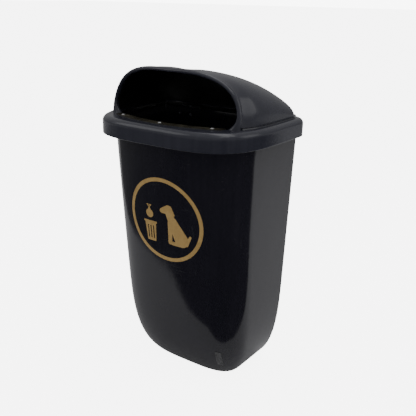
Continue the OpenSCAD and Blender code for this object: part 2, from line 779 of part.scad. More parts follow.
module sign_bin() {
    printed(-44, -36, 32) translate([-44, -38]) difference() {
        union() {
            polygon([[-17, 24], [17, 24], [13, -24], [-13, -24]]);
            translate([-20, 24]) square([40, 5]);
        }
        for (x = [-8, 0, 8]) translate([x - 1.6, -17]) square([3.2, 34]);
    }
}

// Small blank plate low on the front corner
label_w = 16;
label_h = 46;
label_t = 0.6;

module label_plate() {
    color("#8c8c90")
        sheet(label_x - label_w / 2, label_x + label_w / 2, label_z - label_h / 2, label_z + label_h / 2,
            5, 8, label_t);
}

bin_body();
hood_shell();
stub_plate();
stub_rivets();
rim_buffers();
body_hinge_left();
body_hinge_right();
hood_hinge_left();
hood_hinge_right();
hinge_pin_left();
hinge_pin_right();
body_hinge_screws();
hood_hinge_rivets();
hood_lock_case();
hood_lock_core();
hood_lock_nut();
hood_lock_cam();
hood_lock_screw();
lock_keeper();
keeper_rivets();
hanger_rail();
rail_bolts();
rail_nuts();
rail_washers();
wall_channel();
hook_bar();
rest_bar();
rest_pads();
bracket_lock_case();
bracket_lock_core();
bracket_lock_nut();
bracket_lock_cam();
bracket_lock_screw();
sign_ring();
sign_dog();
sign_bag();
sign_bin();
label_plate();
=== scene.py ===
import math

import bpy
import numpy as np
from mathutils import Matrix, Vector


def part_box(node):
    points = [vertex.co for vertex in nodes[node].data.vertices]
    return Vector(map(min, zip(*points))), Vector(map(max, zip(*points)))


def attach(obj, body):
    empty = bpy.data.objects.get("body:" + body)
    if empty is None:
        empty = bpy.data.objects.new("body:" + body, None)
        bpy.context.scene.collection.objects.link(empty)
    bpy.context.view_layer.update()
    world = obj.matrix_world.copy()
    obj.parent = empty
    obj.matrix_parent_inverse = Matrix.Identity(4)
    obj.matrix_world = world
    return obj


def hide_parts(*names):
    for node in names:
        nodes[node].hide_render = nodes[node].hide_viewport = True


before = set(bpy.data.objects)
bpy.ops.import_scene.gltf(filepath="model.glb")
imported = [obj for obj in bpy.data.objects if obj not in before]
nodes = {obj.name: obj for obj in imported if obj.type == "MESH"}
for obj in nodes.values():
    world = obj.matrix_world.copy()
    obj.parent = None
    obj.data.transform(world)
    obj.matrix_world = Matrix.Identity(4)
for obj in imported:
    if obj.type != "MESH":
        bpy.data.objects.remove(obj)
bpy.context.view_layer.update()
mm = 0.001

# Sizes that every piece shares come from the frame
hoodLow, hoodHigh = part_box("hood_shell")
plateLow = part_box("stub_plate")[0]
plateGap = 0.05 * mm  # between the stub plate and the sill that it lies on
halfWidth = hoodHigh.x
rearY = hoodHigh.y
hoodDepth = hoodHigh.y - hoodLow.y
skirtZ = hoodLow.z
shoulderZ = plateLow.z - plateGap


sharpAngle = 38


# Quads of a grid whose columns close on themselves, and whose rows do so where asked
def gridFaces(rows, columns, wrapRows):
    j = np.arange(rows if wrapRows else rows - 1)
    i = np.arange(columns)
    j, i = np.meshgrid(j, i, indexing="ij")
    nextJ, nextI = (j + 1) % rows, (i + 1) % columns
    quads = [j * columns + i, j * columns + nextI, nextJ * columns + nextI, nextJ * columns + i]
    return np.stack(quads, -1).reshape(-1, 4)


# Makes a mesh piece from a grid of points, with a flat cap on each end where asked
# The attribute called inside is 1 where the skin is the matt inner one, painted dark as shade
def gridPiece(name, points, wrapRows=False, capped=False, inside=None):
    rows, columns = points.shape[:2]
    faces = gridFaces(rows, columns, wrapRows).tolist()
    if capped:
        faces.append(list(range(columns - 1, -1, -1)))
        faces.append(list(range((rows - 1) * columns, rows * columns)))
    mesh = bpy.data.meshes.new(name)
    mesh.from_pydata(points.reshape(-1, 3), [], faces)
    if inside is not None:
        mask = np.broadcast_to(inside, (rows, columns)).astype(np.float32)
        mesh.attributes.new("inside", "FLOAT", "POINT").data.foreach_set("value", mask.ravel())
    mesh.shade_smooth()
    mesh.set_sharp_from_angle(angle=math.radians(sharpAngle))
    piece = bpy.data.objects.new(name, mesh)
    bpy.context.scene.collection.objects.link(piece)
    return piece


def joined(name, pieces):
    with bpy.context.temp_override(active_object=pieces[0], selected_editable_objects=pieces,
                                   selected_objects=pieces, object=pieces[0]):
        bpy.ops.object.join()
    pieces[0].name = pieces[0].data.name = name
    return pieces[0]


# Closed cylinder between two points, used as a cutter
def cutterRod(start, end, radius, sides=64):
    start, end = np.array(start), np.array(end)
    along = (end - start) / np.linalg.norm(end - start)
    side = np.cross(along, [0.3, 0.5, 0.8])  # any way that is not along the rod
    side /= np.linalg.norm(side)
    other = np.cross(along, side)
    u = np.linspace(0, 2 * math.pi, sides, endpoint=False)[:, None]
    ring = radius * (np.cos(u) * side + np.sin(u) * other)
    return gridPiece("cutter", np.stack([start + ring, end + ring]), capped=True)


def cut(piece, cutters):
    for cutter in cutters:
        modifier = piece.modifiers.new("cut", "BOOLEAN")
        modifier.operation, modifier.solver, modifier.object = "DIFFERENCE", "EXACT", cutter
        with bpy.context.temp_override(object=piece, active_object=piece, selected_objects=[piece]):
            bpy.ops.object.modifier_apply(modifier=modifier.name)
        bpy.data.objects.remove(cutter)


# Radius of a squared ellipse, |x/a|^n + |y/b|^n = 1, in a direction
def squircle(angle, a, b, n):
    return ((np.abs(np.cos(angle)) / a) ** n + (np.abs(np.sin(angle)) / b) ** n) ** (-1 / n)


# Plan outlines, one row each: half a squared ellipse in front of yc, straight sides,
# two corner arcs of radius rb and a straight rear at yb, running front, right, rear, left
def outline(a, b, yc, n, yb, rb):
    values = np.broadcast_arrays(a, b, yc, n, yb, rb)
    a, b, yc, n, yb, rb = (np.asarray(v, float).reshape(-1, 1) for v in values)
    front = np.radians(np.linspace(180, 360, 161))
    side = np.linspace(0, 1, 20)[1:-1]
    arc = np.radians(np.linspace(0, 90, 15))
    back = np.linspace(0, 1, 33)[1:-1]
    r = squircle(front, a, b, n)
    rearStart = yb - rb
    x = [r * np.cos(front), a + 0 * side, a - rb + rb * np.cos(arc), (a - rb) * (1 - 2 * back),
         rb - a - rb * np.sin(arc), -a + 0 * side]
    y = [yc + r * np.sin(front), yc + (rearStart - yc) * side, rearStart + rb * np.sin(arc), yb + 0 * back,
         rearStart + rb * np.cos(arc), rearStart + (yc - rearStart) * side]
    return np.concatenate(x, 1), rearY + np.concatenate(y, 1)


def atHeights(plan, z):
    x, y = plan
    return np.stack([x, y, np.broadcast_to(np.asarray(z, float).reshape(-1, 1), x.shape)], -1)


bodyForm = {
    "wall": 4 * mm, "overhang": 25.6 * mm, "rearOverhang": 6.3 * mm, "footWidth": 355 * mm,
    "footDepth": 205 * mm, "setBack": 12.2 * mm, "roundHeight": 272 * mm, "roundX": 125 * mm,
    "roundY": 100 * mm, "footFlat": 5 * mm, "frontShare": 0.37, "flange": 6 * mm, "rimBack": 42 * mm,
    "drainRadius": 5 * mm, "drainX": 60 * mm, "drainY": (30 * mm, 80 * mm), "rimDrop": 8 * mm,
    "ledgeDrop": 6 * mm, "power": 3.2, "topShare": 654.3 / 634.3, "flangeRound": 2 * mm,
}
bodyTop = bodyForm["topShare"] * (skirtZ + bodyForm["footFlat"])
rimZ = shoulderZ - bodyForm["rimDrop"]
ledgeZ = skirtZ - bodyForm["ledgeDrop"]


# Half width, depth, squareness and rear plane of the body at height z: straight tapers,
# less a rounding of the foot that falls off as 1 - (1 - u^3.2)^(1/3.2)
def bodyShape(z):
    f = bodyForm
    share = (z + f["footFlat"]) / bodyTop
    u = np.clip(1 - (z + f["footFlat"]) / f["roundHeight"], 0, 1)
    rounding = 1 - (1 - u ** f["power"]) ** (1 / f["power"])
    topA = halfWidth - f["overhang"]
    topD = hoodDepth - f["overhang"] - f["rearOverhang"]
    a = f["footWidth"] / 2 + (topA - f["footWidth"] / 2) * share - f["roundX"] * rounding
    d = f["footDepth"] + (topD - f["footDepth"]) * share - f["roundY"] * rounding
    n = 3.42 - 1.06 * share
    return a, d, n + (3.37 - n) * rounding, -(f["rearOverhang"] + f["setBack"] * (1 - share))


# Rings of the body: the shape at shapeZ grown by grow, drawn at z, with the rear plane at back.
# A rear corner is rounded by 6 mm and the growth, and by 1.5 mm at least
def bodyRings(shapeZ, grow, back, z):
    shapeZ, grow, back, z = (np.atleast_1d(np.asarray(v, float)) for v in (shapeZ, grow, back, z))
    a, d, n, ownBack = bodyShape(shapeZ)
    front = bodyForm["frontShare"]
    count = np.broadcast(a, grow, back, z).shape[0]
    corner = np.maximum(1.5 * mm, 6 * mm + grow) + 0 * a
    values = (a + grow, d * front + grow, ownBack - d * (1 - front), n, back, corner)
    plan = outline(*(np.broadcast_to(value, count) for value in values))
    return atHeights(plan, np.broadcast_to(z, count))


# One closed skin: up the outside, round the ledge and the flange, and down the inside
def makeBody():
    f = bodyForm
    wall, flange, rimBack, edge = f["wall"], f["flange"], -f["rimBack"], f["flangeRound"]
    low = f["roundHeight"] * np.linspace(0, 1, 66) ** 1.8
    high = np.linspace(f["roundHeight"], ledgeZ, 46)[1:]
    outerZ = np.concatenate([[1.2 * mm], low[low > 2 * mm], high])
    edgeZ = np.array([0, 0.15, 0.55]) * mm
    foot = bodyRings(0 * edgeZ + 0.6 * mm, [-1.6 * mm, -0.8 * mm, -0.2 * mm], bodyShape(edgeZ)[3], edgeZ)
    outer = bodyRings(outerZ, 0, bodyShape(outerZ)[3], outerZ)
    u = np.radians(np.linspace(-90, 90, 13))  # rounded edge of the flange
    grow = flange - edge + edge * np.cos(u)
    flangeZ = rimZ - edge + edge * np.sin(u)
    collarZ = np.linspace(ledgeZ + 3 * mm, rimZ - wall - 3 * mm, 8)
    rim = [
        bodyRings(ledgeZ + 1 * mm, 0, -7 * mm, ledgeZ + 1 * mm),
        bodyRings(ledgeZ + 2 * mm, 0, rimBack - 1 * mm, ledgeZ + 2 * mm),
        bodyRings(collarZ, 0, rimBack, collarZ),
        bodyRings(rimZ - wall, [0.6 * mm, 3 * mm], [rimBack + 0.5 * mm, rimBack + 1 * mm],
                  [rimZ - wall - 1 * mm, rimZ - wall]),
        bodyRings(flangeZ, grow, rimBack + 4 * mm * (grow / flange), flangeZ),
        bodyRings(rimZ, [0.4 * mm, 1.5 * mm - wall], [rimBack, rimBack - wall + 1 * mm], rimZ),
        bodyRings(rimZ, [0.5 * mm - wall, -wall], [rimBack - wall + 0.3 * mm, rimBack - wall],
                  [rimZ - 0.4 * mm, rimZ - 1.5 * mm]),
        bodyRings(ledgeZ - 2 * mm, -wall, rimBack - wall, ledgeZ - 2 * mm),
    ]
    insideZ = np.concatenate([low[low > 1.4 * wall], high[:-1]])[::-1]
    inner = bodyRings(insideZ - 0.5 * wall, -0.95 * wall, bodyShape(insideZ)[3] - wall, insideZ)
    floor = bodyRings(wall, [-1.1 * wall, -1.6 * wall], bodyShape(wall)[3] - wall,
                      [wall + 0.6 * mm, wall + 0.3 * mm])
    points = np.concatenate([foot, outer, *rim, inner, floor])
    inside = np.arange(len(points)) >= len(points) - len(inner) - len(floor)
    body = gridPiece("binBody", points, capped=True, inside=inside[:, None])
    rearWall = rearY - f["setBack"] - f["rearOverhang"]
    cut(body, [cutterRod((x, rearWall - y, -5 * mm), (x, rearWall - y, 12 * mm), f["drainRadius"])
               for x in (-f["drainX"], f["drainX"]) for y in f["drainY"]])
    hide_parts("bin_body")
    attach(body, "bin")
    return body


hoodForm = {
    "wall": 4 * mm, "skirtRound": 14 * mm, "cornerRadius": 40 * mm, "squareness": 3.8, "frontShare": 0.76,
    "shoulderWidth": 19 * mm, "lipHalfWidth": 177 * mm, "lipHeight": 115.7 * mm, "sillDepth": 44 * mm,
    "mouthBow": 38 * mm, "mouthLean": 13, "beadWidth": 9 * mm, "beadProud": 1.2 * mm, "web": 20 * mm,
    "hollowHalfWidth": 46 * mm, "hollowDepth": 7 * mm, "hollowY": 104 * mm, "hollowLength": 60 * mm,
    "domeRear": 11 * mm, "sink": 2.5 * mm, "heightPower": 0.526, "stepOut": 4 * mm, "stepHigh": 4.5 * mm,
    "stepIn": 4 * mm, "stepDeep": 3 * mm, "stepEdge": 2 * mm, "holeInset": 6 * mm, "holeRear": 7 * mm,
    "holeRound": 2 * mm, "footRound": 2 * mm, "lockSink": 2.6 * mm, "lockHole": 6.6 * mm,
    "lockPlay": 0.1 * mm,
}


# Half width of the dome's foot at depth y: the skirt's plan drawn in by the shoulder
def footWidth(y):
    f = hoodForm
    reach = hoodDepth * f["frontShare"] - 1.4 * f["shoulderWidth"]
    v = np.clip((-hoodDepth * (1 - f["frontShare"]) - y) / reach, 0, 1)
    w = np.clip((y + f["domeRear"] + f["cornerRadius"]) / f["cornerRadius"], 0, 1)
    full = (halfWidth - f["shoulderWidth"]) * (1 - v ** f["squareness"]) ** (1 / f["squareness"])
    return full - f["cornerRadius"] * (1 - np.sqrt(1 - w * w))


# Bell curve (1 - u^2)^2, nought where u is past 1
def bell(u):
    return (1 - np.clip(u * u, 0, 1)) ** 2


# Dome: s runs from the mouth to the rear and t over the arch. Each section is a squared half
# ellipse whose height falls as (1 - s^2)^heightPower, and the mouth's bow and lean fade with s.
# A hollow is taken off the crest: its depth falls as bell(x) times bell(|y|^2.2)
def domePoints(s, t, inward):
    f = hoodForm
    s, t, inward = np.broadcast_arrays(s, t, inward)
    mouthY = -hoodDepth + f["sillDepth"] + f["mouthBow"]
    along = mouthY + (-f["domeRear"] - 1.5 * np.maximum(inward, 0) - mouthY) * s
    ease = 1 - (1 - np.clip(s / 0.18, 0, 1)) ** 2
    wide = footWidth(np.minimum(along, -f["domeRear"]))
    a = f["lipHalfWidth"] + (wide - f["lipHalfWidth"]) * ease - inward
    h = (f["lipHeight"] + f["sink"] - inward) * np.clip(1 - s * s, 0, 1) ** f["heightPower"]
    h = np.maximum(h, 1e-6)
    r = squircle(t, a, h, 2.8 - 0.2 * s)
    x, z = r * np.cos(t), r * np.sin(t)
    lean = math.tan(math.radians(f["mouthLean"]))
    y = along - f["mouthBow"] * (1 - s) * (1 - (x / a) ** 2) + z * lean * (1 - s)
    middle = -hoodDepth + f["sillDepth"] + f["hollowY"]
    reach = np.abs((y - middle) / f["hollowLength"]) ** 2.2
    hollow = f["hollowDepth"] * bell(x / f["hollowHalfWidth"]) * bell(reach)
    return np.stack([x, rearY + y, shoulderZ - f["sink"] + z - hollow], -1)


# Rings of the skirt, drawn in by inward
def skirtRings(inward, z):
    f = hoodForm
    inward, z = np.broadcast_arrays(np.asarray(inward, float), np.asarray(z, float))
    front = -hoodDepth * (1 - f["frontShare"])
    corner = np.maximum(3 * mm, f["cornerRadius"] - inward)
    return atHeights(outline(halfWidth - inward, hoodDepth + front - inward, front, f["squareness"],
                             -inward, corner), z)


# Rings between two given rings, evenly spaced
def between(first, last, count):
    k = np.linspace(0, 1, count + 2)[1:-1].reshape(-1, 1, 1)
    return first + (last - first) * k


# Skirt and shoulder: one closed skin round a foot edge, up the outside to the hole and back inside
def makeSkirt():
    f = hoodForm
    wall, radius, inset, edgeRound, footRound = (f[key] for key in (
        "wall", "skirtRound", "holeInset", "holeRound", "footRound"))
    u = np.radians(np.linspace(0, 90, 19))
    outer = skirtRings(radius * (1 - np.cos(u)), shoulderZ - radius + radius * np.sin(u))
    inside = radius - wall
    inner = skirtRings(wall + inside * (1 - np.cos(u[::-1])), shoulderZ - radius + inside * np.sin(u[::-1]))
    front = -hoodDepth * (1 - f["frontShare"])
    w = np.radians(np.linspace(90, -90, 13))
    edge = edgeRound * (np.cos(w) - 1)
    hole = atHeights(outline(halfWidth - f["shoulderWidth"] - inset - edge,
                             hoodDepth - f["sillDepth"] - inset + front - edge, front, f["squareness"],
                             -f["domeRear"] - f["holeRear"] - edge, f["cornerRadius"] - radius - edge),
                     shoulderZ - edgeRound + edgeRound * np.sin(w))
    v = np.radians(np.linspace(0, 180, 13))
    foot = skirtRings(footRound * (1 + np.cos(v)), skirtZ + footRound * (1 - np.sin(v)))
    band = np.linspace(skirtZ + 2 * footRound, shoulderZ - radius, 10)[:-1]
    shown = np.concatenate([foot, skirtRings(0, band), outer, between(outer[-1:], hole[:1], 6), hole])
    hidden = np.concatenate([between(hole[-1:], inner[:1], 4), inner,
                             skirtRings(wall, np.linspace(shoulderZ - radius, skirtZ + 3 * mm, 9)[1:])])
    inside = np.arange(len(shown) + len(hidden)) >= len(shown)
    points = np.concatenate([shown, hidden])[::-1]
    return gridPiece("skirt", points, wrapRows=True, inside=inside[::-1, None])


# Dome as one closed skin, with rings closer together towards the rear
def makeDome():
    s = 1 - (1 - np.linspace(0, 1, 90)) ** 1.7
    t = np.radians(np.linspace(0, 180, 141))
    outer = domePoints(s[:, None], t[None], 0.0)
    inner = domePoints(s[:, None], t[None, ::-1], hoodForm["wall"])
    inside = np.arange(2 * t.size) >= t.size
    return gridPiece("dome", np.concatenate([outer, inner], 1)[::-1], capped=True, inside=inside[None])


# Bead round the mouth: a rounded rim carried over the arch, wider and prouder at its feet
def makeBead():
    f = hoodForm
    t = np.radians(np.linspace(0, 180, 181))[:, None]
    up = domePoints(0.0, t, 0.0)[..., 2] - shoulderZ
    web = f["web"] * np.clip(1 - up / (1.5 * f["web"]), 0, None) ** 2
    u = np.radians(np.linspace(360, 0, 29))[None, :-1]
    proud = f["beadProud"] * (1 + 1.6 * np.abs(np.cos(t)))
    points = domePoints(0.0, t + 0 * u, (f["beadWidth"] + web) / 2 * (1 + np.cos(u)) - proud)
    points[..., 1] += 0.8 * f["beadWidth"] * np.sin(u) - 1 * mm
    return gridPiece("bead", points, capped=True)


# Low step along the dome's foot, carried back, round the rear and forward again. Its top
# edge is sharp and overhangs its side by stepEdge
def makeStep():
    f = hoodForm
    s = 1 - (1 - np.linspace(0.02, 1, 80)) ** 2.2
    right = domePoints(s, 0.0, 0.0)[:, :2]
    rear = domePoints(1.0, np.radians(np.linspace(0, 180, 41)), 0.0)[1:-1, :2]
    path = np.concatenate([right, rear, right[::-1] * [-1, 1]])
    way = np.gradient(path, axis=0)
    way /= np.maximum(np.linalg.norm(way, axis=1, keepdims=True), 1e-9)
    out = np.stack([way[:, 1], -way[:, 0]], 1)
    u = np.radians(np.linspace(0, 90, 9))
    under = f["stepEdge"] * (1 - np.cos(u))
    across = np.concatenate([[-f["stepIn"]], f["stepOut"] - under, [f["stepOut"], -f["stepIn"]]])
    high = np.concatenate([[f["stepHigh"]], f["stepHigh"] - under, [-f["stepDeep"], -f["stepDeep"]]])
    xy = path[:, None] + out[:, None] * across[None, :, None]
    z = np.broadcast_to(shoulderZ + high, xy.shape[:2])
    return gridPiece("step", np.concatenate([xy, z[..., None]], -1), capped=True)


def makeHood():
    f = hoodForm
    skirt = makeSkirt()
    lockLow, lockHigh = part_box("hood_lock_case")
    y, z = (lockLow.y + lockHigh.y) / 2, (lockLow.z + lockHigh.z) / 2
    start = (-halfWidth - 5 * mm, y, z)
    faceRadius = (lockHigh.y - lockLow.y) / 2 + f["lockPlay"]
    cut(skirt, [cutterRod(start, (f["lockSink"] - halfWidth, y, z), faceRadius),
                cutterRod(start, (15 * mm - halfWidth, y, z), f["lockHole"])])
    hood = joined("hoodShell", [skirt, makeDome(), makeBead(), makeStep()])
    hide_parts("hood_shell")
    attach(hood, "hood")
    return hood


# Node group with named inputs and outputs
def newGroup(name, inputs, outputs):
    group = bpy.data.node_groups.new(name, "ShaderNodeTree")
    for label, kind, value in inputs:
        socket = group.interface.new_socket(label, in_out="INPUT", socket_type=kind)
        socket.default_value = value
    for label, kind in outputs:
        group.interface.new_socket(label, in_out="OUTPUT", socket_type=kind)
    return group, group.nodes.new("NodeGroupInput"), group.nodes.new("NodeGroupOutput")


def addNode(tree, kind, links=None, values=None, **settings):
    node = tree.nodes.new(kind)
    for key, value in settings.items():
        setattr(node, key, value)
    for key, value in (values or {}).items():
        node.inputs[key].default_value = value
    for key, source in (links or {}).items():
        tree.links.new(source, node.inputs[key])
    return node


def mathNode(tree, operation, a, b=None, clamp=False):
    node = addNode(tree, "ShaderNodeMath", operation=operation, use_clamp=clamp)
    for index, value in enumerate((a, b)):
        if isinstance(value, bpy.types.NodeSocket):
            tree.links.new(value, node.inputs[index])
        elif value is not None:
            node.inputs[index].default_value = value
    return node.outputs[0]


def mixColor(tree, factor, a, b):
    node = addNode(tree, "ShaderNodeMix", data_type="RGBA")
    for key, kind, value in (("Factor", "VALUE", factor), ("A", "RGBA", a), ("B", "RGBA", b)):
        socket = next(s for s in node.inputs if s.name == key and s.type == kind)
        if isinstance(value, bpy.types.NodeSocket):
            tree.links.new(value, socket)
        else:
            socket.default_value = value
    return next(s for s in node.outputs if s.type == "RGBA")


def ramp(tree, source, low, high):
    return addNode(tree, "ShaderNodeMapRange", {"Value": source}, {"From Min": low, "From Max": high},
                   clamp=True).outputs[0]


def noise(tree, place, scale, detail, roughness=0.5):
    return addNode(tree, "ShaderNodeTexNoise", {"Vector": place},
                   {"Scale": scale, "Detail": detail, "Roughness": roughness}).outputs[0]


# Value times factor plus offset, held between 0 and 1
def scaled(tree, value, factor, offset):
    return mathNode(tree, "ADD", mathNode(tree, "MULTIPLY", value, factor), offset, clamp=True)


# Faint waviness and fine pimples of a moulded or cast skin, as a height and a mask
def makeSkinGroup():
    group, start, end = newGroup("mouldedSkin", [("Vector", "NodeSocketVector", (0, 0, 0)),
                                                 ("Wave Scale", "NodeSocketFloat", 20.0),
                                                 ("Grain Scale", "NodeSocketFloat", 900.0),
                                                 ("Grain Amount", "NodeSocketFloat", 0.15)],
                                 [("Height", "NodeSocketFloat"), ("Mask", "NodeSocketFloat")])
    wave = addNode(group, "ShaderNodeTexNoise", {"Vector": start.outputs[0], "Scale": start.outputs[1]},
                   {"Detail": 2.0, "Roughness": 0.4})
    grain = addNode(group, "ShaderNodeTexNoise", {"Vector": start.outputs[0], "Scale": start.outputs[2]},
                    {"Detail": 2.0, "Roughness": 0.6})
    fine = mathNode(group, "MULTIPLY", grain.outputs[0], start.outputs[3])
    group.links.new(mathNode(group, "ADD", wave.outputs[0], fine), end.inputs[0])
    group.links.new(wave.outputs[0], end.inputs[1])
    return group


# Thin scratches in random patches, as a mask
def makeScratchGroup():
    group, start, end = newGroup("scratches", [("Vector", "NodeSocketVector", (0, 0, 0)),
                                               ("Scale", "NodeSocketFloat", 14.0),
                                               ("Amount", "NodeSocketFloat", 0.5)],
                                 [("Mask", "NodeSocketFloat")])
    masks = []
    for turn, stretch in ((0.35, (1, 1, 0.05)), (-0.6, (1, 0.06, 1)), (1.9, (0.07, 1, 1))):
        mapped = addNode(group, "ShaderNodeMapping", {"Vector": start.outputs[0]},
                         {"Rotation": (turn, turn * 0.7, turn * 1.3), "Scale": stretch})
        density = mathNode(group, "MULTIPLY", start.outputs[1], 22.0)
        lines = addNode(group, "ShaderNodeTexNoise", {"Vector": mapped.outputs[0], "Scale": density},
                        {"Detail": 1.0})
        masks.append(ramp(group, lines.outputs[0], 0.69, 0.74))
    patch = addNode(group, "ShaderNodeTexNoise", {"Vector": start.outputs[0], "Scale": start.outputs[1]},
                    {"Detail": 2.0})
    total = mathNode(group, "ADD", mathNode(group, "ADD", masks[0], masks[1]), masks[2], clamp=True)
    worn = mathNode(group, "MULTIPLY", total, ramp(group, patch.outputs[0], 0.45, 0.7))
    group.links.new(mathNode(group, "MULTIPLY", worn, start.outputs[2]), end.inputs[0])
    return group


# Dust that lies where a surface faces up, broken up by noise, with a few specks all over
def makeDustGroup():
    group, start, end = newGroup("settledDust", [("Vector", "NodeSocketVector", (0, 0, 0)),
                                                 ("Amount", "NodeSocketFloat", 0.2)],
                                 [("Mask", "NodeSocketFloat")])
    facing = addNode(group, "ShaderNodeNewGeometry")
    upward = addNode(group, "ShaderNodeSeparateXYZ", {0: facing.outputs["Normal"]}).outputs[2]
    cloud = noise(group, start.outputs[0], 26.0, 5.0, 0.65)
    speck = noise(group, start.outputs[0], 700.0, 1.0)
    film = mathNode(group, "MULTIPLY", ramp(group, upward, 0.35, 1.0), ramp(group, cloud, 0.35, 0.7))
    specks = mathNode(group, "MULTIPLY", ramp(group, speck, 0.66, 0.72), 0.4)
    mask = mathNode(group, "ADD", film, specks)
    group.links.new(mathNode(group, "MULTIPLY", mask, start.outputs[1], clamp=True), end.inputs[0])
    return group


print("shared surface effects")
skinGroup, scratchGroup, dustGroup = makeSkinGroup(), makeScratchGroup(), makeDustGroup()


def startMaterial(name, values):
    material = bpy.data.materials.new(name)
    material.use_nodes = True
    tree = material.node_tree
    tree.nodes.clear()
    shader = addNode(tree, "ShaderNodeBsdfPrincipled", None, values)
    addNode(tree, "ShaderNodeOutputMaterial", {0: shader.outputs[0]})
    place = addNode(tree, "ShaderNodeTexCoord").outputs["Object"]
    return material, tree, shader, place


def useGroup(tree, group, place, **values):
    named = {key.replace("_", " "): value for key, value in values.items()}
    node = addNode(tree, "ShaderNodeGroup", node_tree=group)
    for key, value in named.items():
        node.inputs[key].default_value = value
    tree.links.new(place, node.inputs["Vector"])
    return node


def addBump(tree, shader, height, strength, distance):
    bump = addNode(tree, "ShaderNodeBump", {"Height": height}, {"Strength": strength, "Distance": distance})
    tree.links.new(bump.outputs[0], shader.inputs["Normal"])


plasticLook = {
    "body": {"color": (0.0125, 0.0120, 0.0180, 1), "light": (0.0200, 0.0190, 0.0270, 1),
             "roughness": 0.11, "footWear": 0.5, "dust": 0.05},
    # The hood's colours are painted paler and bluer than the body's, a painted reflection of the bright sky
    # above
    "hood": {"color": (0.0240, 0.0250, 0.0370, 1), "light": (0.034, 0.035, 0.049, 1),
             "roughness": 0.19, "footWear": 0.0, "dust": 0.10},
    # The inside colour is painted shade: the inner skin darkened nearly to black for the shade within the bin
    "dust": (0.16, 0.155, 0.15, 1), "scuff": (0.075, 0.075, 0.08, 1), "inside": (0.003, 0.003, 0.003, 1),
    "wave": 0.6, "flow": 0.05, "streak": 0.25,
}


# Glossy moulded plastic: flow streaks, a wavy skin, scuffs near the foot and a little dust.
# Where the attribute called inside is 1, the skin is matt and painted nearly black as the shade inside the
# bin
def makePlastic(name, look):
    material, tree, shader, place = startMaterial(name, {"Roughness": look["roughness"], "IOR": 1.5})
    streaked = addNode(tree, "ShaderNodeMapping", {"Vector": place}, {"Scale": (60, 60, 2.2)})
    streak = noise(tree, streaked.outputs[0], 1.0, 4.0, 0.6)
    cloud = noise(tree, place, 5.0, 4.0)
    skin = useGroup(tree, skinGroup, place, Wave_Scale=24.0, Grain_Scale=850.0, Grain_Amount=0.05)
    scratch = useGroup(tree, scratchGroup, place, Scale=11.0, Amount=0.55)
    dusty = useGroup(tree, dustGroup, place, Amount=look["dust"])
    mixture = mathNode(tree, "MULTIPLY", ramp(tree, streak, 0.3, 0.75), ramp(tree, cloud, 0.3, 0.7))
    color = mixColor(tree, mixture, look["color"], look["light"])
    height = addNode(tree, "ShaderNodeSeparateXYZ", {0: place}).outputs[2]
    nearFoot = mathNode(tree, "MULTIPLY", ramp(tree, height, 0.14, 0.0), look["footWear"])
    rub = noise(tree, place, 60.0, 6.0, 0.7)
    footRub = mathNode(tree, "MULTIPLY", nearFoot, ramp(tree, rub, 0.48, 0.7))
    wear = mathNode(tree, "ADD", mathNode(tree, "MULTIPLY", scratch.outputs[0], 0.35), footRub, clamp=True)
    color = mixColor(tree, wear, color, plasticLook["scuff"])
    color = mixColor(tree, dusty.outputs[0], color, plasticLook["dust"])
    inside = addNode(tree, "ShaderNodeAttribute", attribute_name="inside").outputs["Fac"]
    # Painted shade: the inner skin is mixed towards nearly black
    color = mixColor(tree, inside, color, plasticLook["inside"])
    tree.links.new(color, shader.inputs["Base Color"])
    rough = mathNode(tree, "ADD", mathNode(tree, "MULTIPLY", mixture, plasticLook["flow"]), look["roughness"])
    rough = mathNode(tree, "ADD", rough, mathNode(tree, "MULTIPLY", wear, 0.3))
    rough = mathNode(tree, "ADD", rough, mathNode(tree, "MULTIPLY", dusty.outputs[0], 0.5))
    rough = mathNode(tree, "ADD", rough, mathNode(tree, "MULTIPLY", inside, 0.5), clamp=True)
    tree.links.new(rough, shader.inputs["Roughness"])
    streaks = mathNode(tree, "MULTIPLY", streak, plasticLook["streak"])
    relief = mathNode(tree, "ADD", skin.outputs["Height"], streaks)
    addBump(tree, shader, relief, 0.35, plasticLook["wave"] * mm)
    return material


galvanisedLook = {
    "dark": (0.36, 0.37, 0.39, 1), "light": (0.60, 0.61, 0.62, 1), "stain": (0.55, 0.55, 0.53, 1),
    "scratch": (0.72, 0.72, 0.72, 1),
}


# Hot dip galvanised steel: flat crystal spangles with their own shade and gloss
def makeGalvanised(look):
    material, tree, shader, place = startMaterial("galvanisedSteel", {"Metallic": 1.0, "Roughness": 0.4})
    cells = addNode(tree, "ShaderNodeTexVoronoi", {"Vector": place}, {"Scale": 190.0, "Randomness": 1.0})
    shade = addNode(tree, "ShaderNodeSeparateColor", {0: cells.outputs["Color"]})
    color = mixColor(tree, shade.outputs[0], look["dark"], look["light"])
    stain = noise(tree, place, 30.0, 6.0, 0.65)
    color = mixColor(tree, ramp(tree, stain, 0.52, 0.8), color, look["stain"])
    scratch = useGroup(tree, scratchGroup, place, Scale=24.0, Amount=0.7)
    color = mixColor(tree, scratch.outputs[0], color, look["scratch"])
    tree.links.new(color, shader.inputs["Base Color"])
    rough = mathNode(tree, "ADD", mathNode(tree, "MULTIPLY", shade.outputs[1], 0.18), 0.32)
    stained = mathNode(tree, "MULTIPLY", ramp(tree, stain, 0.5, 0.8), 0.25)
    rough = mathNode(tree, "ADD", rough, stained, clamp=True)
    tree.links.new(rough, shader.inputs["Roughness"])
    addBump(tree, shader, stain, 0.3, 0.2 * mm)
    return material


metalLook = {
    "stainless": {"dark": (0.50, 0.50, 0.51, 1), "light": (0.66, 0.66, 0.66, 1),
                  "roughness": 0.3, "grain": 0.2},
    "zinc": {"dark": (0.40, 0.40, 0.42, 1), "light": (0.58, 0.58, 0.60, 1),
             "roughness": 0.36, "grain": 0.35},
    "scratch": (0.86, 0.86, 0.86, 1),
}


